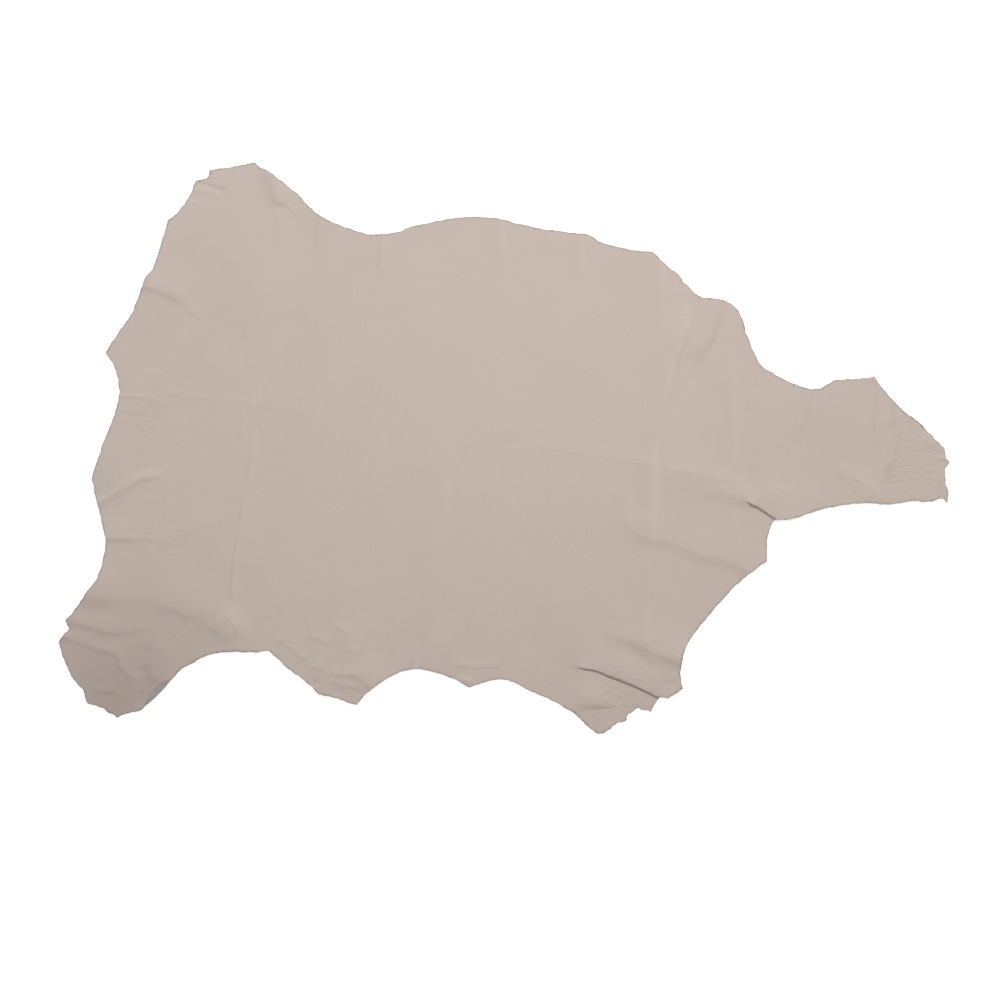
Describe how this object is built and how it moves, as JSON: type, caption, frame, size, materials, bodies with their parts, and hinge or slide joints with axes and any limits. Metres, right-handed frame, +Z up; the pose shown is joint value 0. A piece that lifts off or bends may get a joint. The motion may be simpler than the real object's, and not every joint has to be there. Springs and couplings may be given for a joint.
{
  "type": "leather hide",
  "caption": "Whole soft leather skin with its natural outline, lying grain side up with low folds, for cutting into panels or covering.",
  "frame": {"origin": "middle of the hide's bounding box, on the surface that it lies on", "axes": "+X along the spine towards the neck, +Y across the hide, +Z up out of the grain side"},
  "size_m": [1.188, 0.761, 0.0078],
  "materials": {
    "hide": "smooth matt grain side in pale warm grey, with a grey suede flesh side and a raw cut edge"
  },
  "bodies": {
    "root": {"hide": "hide"}
  },
  "joints": []
}
